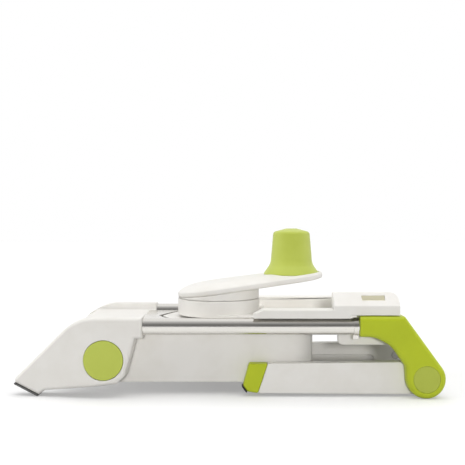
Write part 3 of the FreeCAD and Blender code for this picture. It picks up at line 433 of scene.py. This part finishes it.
def brushed_steel(name, stretch, bright=STEEL, dull=STEEL_DULL, roughness=STEEL_ROUGHNESS):
    """Satin steel with fine polishing lines; stretch is the line scale along x, y and z."""
    material = bpy.data.materials.new(name)
    material.use_nodes = True
    tree = material.node_tree
    skin = tree.nodes["Principled BSDF"]
    join(tree, 1.0, skin.inputs["Metallic"])
    place = node(tree, "ShaderNodeTexCoord")
    drawn_out = node(tree, "ShaderNodeMapping")
    join(tree, stretch, drawn_out.inputs["Scale"])
    join(tree, place.outputs["Object"], drawn_out.inputs["Vector"])
    lines = node(tree, "ShaderNodeTexNoise", Scale=1.0, Detail=3.0)
    join(tree, drawn_out.outputs[0], lines.inputs["Vector"])
    smudges = node(tree, "ShaderNodeTexNoise", Scale=SMUDGE_SCALE, Detail=4.0)
    join(tree, place.outputs["Object"], smudges.inputs["Vector"])
    tone = blended(tree, ranged(tree, lines.outputs["Fac"], *LINE_TONE), opaque(dull), opaque(bright))
    join(tree, tone, skin.inputs["Base Color"])
    polish = ranged(tree, smudges.outputs["Fac"], *SMUDGE_POLISH, *roughness)
    join(tree, polish, skin.inputs["Roughness"])
    relief = node(tree, "ShaderNodeBump", Strength=0.08, Distance=BRUSH_DEPTH)
    join(tree, lines.outputs["Fac"], relief.inputs["Height"])
    join(tree, relief.outputs[0], skin.inputs["Normal"])
    return material


rail_steel = brushed_steel("rail_steel", (BRUSH_ALONG, BRUSH_ACROSS, BRUSH_ACROSS))
for side in ("left", "right"):
    low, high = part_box("rail_" + side)
    outer = (high.z - low.z) / 2
    inner = outer - TUBE_WALL
    length = high.x - low.x
    near_end = [(inner, TUBE_LIP), (inner + TUBE_LIP, 0), (outer - TUBE_LIP, 0), (outer, TUBE_LIP)]
    far_end = [(radius, length - distance) for radius, distance in reversed(near_end)]
    start = Vector((low.x, (low.y + high.y) / 2, (low.z + high.z) / 2))
    tube = turned_tube("rail_%s_tube" % side, near_end + far_end, start)
    place_piece("rail_%s_tube" % side, tube, rail_steel, "frame", "rail_" + side)
    eased("rail_ring_" + side, rail_steel, "frame", RING_EASE)

# Body shell: the long skirt under the rails, one white moulding with rounded rear corners.
# It is open above and below, and its front end is pushed in between the cheeks.
SHELL_EASE = 0.8 * MM

eased("body_shell", white_plastic, "frame", SHELL_EASE)

# Slicing deck: the fixed landing plate, the hinged runway plate, and the V blade on its pale nylon holder.
# The plates are white mouldings; the blade is ground steel, held by flush screws.
NYLON = (0.74, 0.735, 0.72)
NYLON_DEEP = (0.70, 0.695, 0.68)
NYLON_EDGE = (0.80, 0.795, 0.78)
NYLON_ROUGHNESS = (0.42, 0.58)
SATIN_GRAIN = 0.03 * MM
DECK_EASE = 0.5 * MM
HOLDER_EASE = 0.4 * MM
BLADE_EASE = 0.15 * MM
SCREW_EASE = 0.2 * MM
PIN_EASE = 0.3 * MM

pale_nylon = moulded_plastic("pale_nylon", NYLON, NYLON_DEEP, NYLON_EDGE, NYLON_ROUGHNESS, SATIN_GRAIN)
blade_steel = brushed_steel("blade_steel", (BRUSH_ACROSS, BRUSH_ALONG, BRUSH_ACROSS))
eased("landing_plate", white_plastic, "frame", DECK_EASE)
eased("runway_plate", white_plastic, "runway", DECK_EASE)
eased("blade_holder", pale_nylon, "frame", HOLDER_EASE)
eased("v_blade", blade_steel, "frame", BLADE_EASE)
eased("blade_screws", blade_steel, "frame", SCREW_EASE)
eased("runway_pin", blade_steel, "frame", PIN_EASE)

# Thickness dial: a flush green disc in each cheek, both pressed on one steel shaft.
# Two grey eccentric cams on the shaft lift the runway arms.
PALE_GREEN = (0.54, 0.615, 0.105)
PALE_GREEN_DEEP = (0.50, 0.575, 0.085)
PALE_GREEN_EDGE = (0.60, 0.67, 0.17)
PALE_GREEN_ROUGHNESS = (0.36, 0.50)
GREY = (0.33, 0.33, 0.33)
GREY_DEEP = (0.27, 0.27, 0.265)
GREY_EDGE = (0.45, 0.45, 0.44)
GREY_ROUGHNESS = (0.42, 0.58)
DISC_EASE = 0.7 * MM
CAM_EASE = 0.5 * MM
SHAFT_EASE = 0.4 * MM

pale_green = moulded_plastic(
    "pale_green", PALE_GREEN, PALE_GREEN_DEEP, PALE_GREEN_EDGE, PALE_GREEN_ROUGHNESS, SATIN_GRAIN)
grey_plastic = moulded_plastic("grey_plastic", GREY, GREY_DEEP, GREY_EDGE, GREY_ROUGHNESS, SATIN_GRAIN)
for side in ("left", "right"):
    eased("dial_" + side, pale_green, "thickness_dial", DISC_EASE)
    eased("dial_cam_" + side, grey_plastic, "thickness_dial", CAM_EASE)
eased("dial_shaft", blade_steel, "thickness_dial", SHAFT_EASE)

# Handle: one thick U-shaped green moulding with a sleeve over each rail end and a slanted grip across the
# back. A green cap covers each zinced pivot pin of the legs, and a white crossbeam ties the sleeves under
# the rails.
GREEN = (0.49, 0.575, 0.02)
GREEN_DEEP = (0.45, 0.53, 0.014)
GREEN_EDGE = (0.58, 0.65, 0.11)
GREEN_ROUGHNESS = (0.40, 0.55)
CAP_GREEN = (0.46, 0.525, 0.075)
CAP_GREEN_DEEP = (0.42, 0.48, 0.06)
CAP_GREEN_EDGE = (0.52, 0.58, 0.13)
CAP_ROUGHNESS = (0.42, 0.56)
ZINC = (0.34, 0.33, 0.31)
ZINC_DULL = (0.26, 0.255, 0.245)
ZINC_ROUGHNESS = (0.4, 0.55)
HANDLE_EASE = 4.0 * MM
HANDLE_SEGMENTS = 5
INNER_SHARE = 0.3
HANDLE_LOW, HANDLE_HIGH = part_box("handle_frame")
RAIL = middle_of("rail_right")
PIVOT = middle_of("pivot_cap_right")
BORE_CLEAR = 7.8 * MM
CAP_CLEAR = 12.6 * MM
FACE_REACH = 0.02 * MM
CAP_EASE = 0.6 * MM
BEAM_EASE = 0.8 * MM


def handle_edge(middle):
    """Full rounding round the outer outline, less inside and in front, fine at bores and cap seats."""
    at_bore = math.hypot(abs(middle.y) - RAIL.y, middle.z - RAIL.z) < BORE_CLEAR
    at_cap = math.hypot(middle.x - PIVOT.x, middle.z - PIVOT.z) < CAP_CLEAR
    if at_bore or at_cap:
        return FINE_EASE / HANDLE_EASE
    outside = abs(middle.y) > HANDLE_HIGH.y - FACE_REACH and middle.x > HANDLE_LOW.x + FACE_REACH
    return 1.0 if outside else INNER_SHARE


green_plastic = moulded_plastic("green_plastic", GREEN, GREEN_DEEP, GREEN_EDGE, GREEN_ROUGHNESS, SATIN_GRAIN)
cap_green = moulded_plastic(
    "cap_green", CAP_GREEN, CAP_GREEN_DEEP, CAP_GREEN_EDGE, CAP_ROUGHNESS, SATIN_GRAIN)
zinced_steel = brushed_steel("zinced_steel", (BRUSH_ACROSS,) * 3, ZINC, ZINC_DULL, ZINC_ROUGHNESS)
eased("handle_frame", green_plastic, "frame", HANDLE_EASE, handle_edge, HANDLE_SEGMENTS)
for side in ("left", "right"):
    eased("pivot_cap_" + side, cap_green, "frame", CAP_EASE)
    eased("pivot_pin_" + side, zinced_steel, "frame", PIN_EASE)
eased("rear_crossbeam", white_plastic, "frame", BEAM_EASE)

# Folding legs: two white arms that swing on the handle's pivots, with a green foot moulded over each end.
# A round-edged crossbar ties them so they swing as one.
LEG_EASE = 1.0 * MM
FOOT_EASE = 1.6 * MM
CROSSBAR_EASE = 1.5 * MM

for side in ("left", "right"):
    eased("leg_arm_" + side, white_plastic, "leg_frame", LEG_EASE)
    eased("leg_foot_" + side, green_plastic, "leg_frame", FOOT_EASE)
eased("leg_crossbar", white_plastic, "leg_frame", CROSSBAR_EASE)

# Guider carriage: two runners tied by a rear bridge, a grip block and a round food chute in one white
# moulding, with a recessed window in the block whose floor is painted a darker beige as painted shade.
# Pale nylon pads under the runners rest on the rails.
# Painted shade: the recess in the grip block is painted this darker, browner beige.
WINDOW_PAINTED_SHADE = (0.74, 0.71, 0.56)
WINDOW_MIDDLE = Vector((131.15, -62, 89)) * MM
WINDOW_HALF = Vector((10.3, 12, 2.0)) * MM
CARRIAGE_EASE = 0.7 * MM
PAD_EASE = 0.3 * MM

carriage_white = moulded_plastic("carriage_white", WHITE, WHITE_DEEP, WHITE_EDGE, WHITE_ROUGHNESS, FINE_GRAIN)
tree = carriage_white.node_tree
place = node(tree, "ShaderNodeTexCoord")
parts = node(tree, "ShaderNodeSeparateXYZ")
join(tree, place.outputs["Object"], parts.inputs[0])
inside = 1.0
for axis, middle, half in zip("XYZ", WINDOW_MIDDLE, WINDOW_HALF):
    within = node(tree, "ShaderNodeMath", operation="COMPARE")
    join(tree, parts.outputs[axis], within.inputs[0])
    join(tree, middle, within.inputs[1])
    join(tree, half, within.inputs[2])
    inside = combined(tree, "MULTIPLY", inside, within.outputs[0])
# Mix the painted shade into the skin colour inside the window's box.
skin_colour = tree.nodes["Principled BSDF"].inputs["Base Color"]
unshaded_skin = skin_colour.links[0].from_socket
join(tree, blended(tree, inside, unshaded_skin, opaque(WINDOW_PAINTED_SHADE)), skin_colour)
eased("carriage_frame", carriage_white, "carriage", CARRIAGE_EASE)
for side in ("left", "right"):
    eased("runner_pad_" + side, pale_nylon, "carriage", PAD_EASE)

# Pusher: a white plunger in the chute, a sloping teardrop plate on it, and a green knob screwed on from
# below. Steel prongs under the plunger hold the food.
PLATE_EASE = 2.0 * MM
PLATE_SLOPE = math.tan(math.radians(7.8))
PLATE_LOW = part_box("pusher_plate")[0]
RIM_HALF = 2.3 * MM
RIM_TOP = 6 * MM
UPPER_SHARE = 0.4
PLUNGER_EASE = 0.8 * MM
KNOB_EASE = 0.5 * MM
KNOB_SCREW_EASE = 0.3 * MM
PRONG_EASE = 0.1 * MM


def plate_edge(middle):
    """Full rounding under the sloping rim, less above it, and a fine one at the seat of the knob."""
    level = middle.z - PLATE_LOW.z - (middle.x - PLATE_LOW.x) * PLATE_SLOPE
    if level > RIM_TOP:
        return FINE_EASE / PLATE_EASE
    return 1.0 if level < RIM_HALF else UPPER_SHARE


eased("pusher_plunger", white_plastic, "pusher", PLUNGER_EASE)
eased("pusher_plate", white_plastic, "pusher", PLATE_EASE, plate_edge)
eased("pusher_knob", pale_green, "pusher", KNOB_EASE)
eased("knob_screw", blade_steel, "pusher", KNOB_SCREW_EASE)
eased("pusher_prongs", blade_steel, "pusher", PRONG_EASE)

# The finished model's size.
low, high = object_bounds()
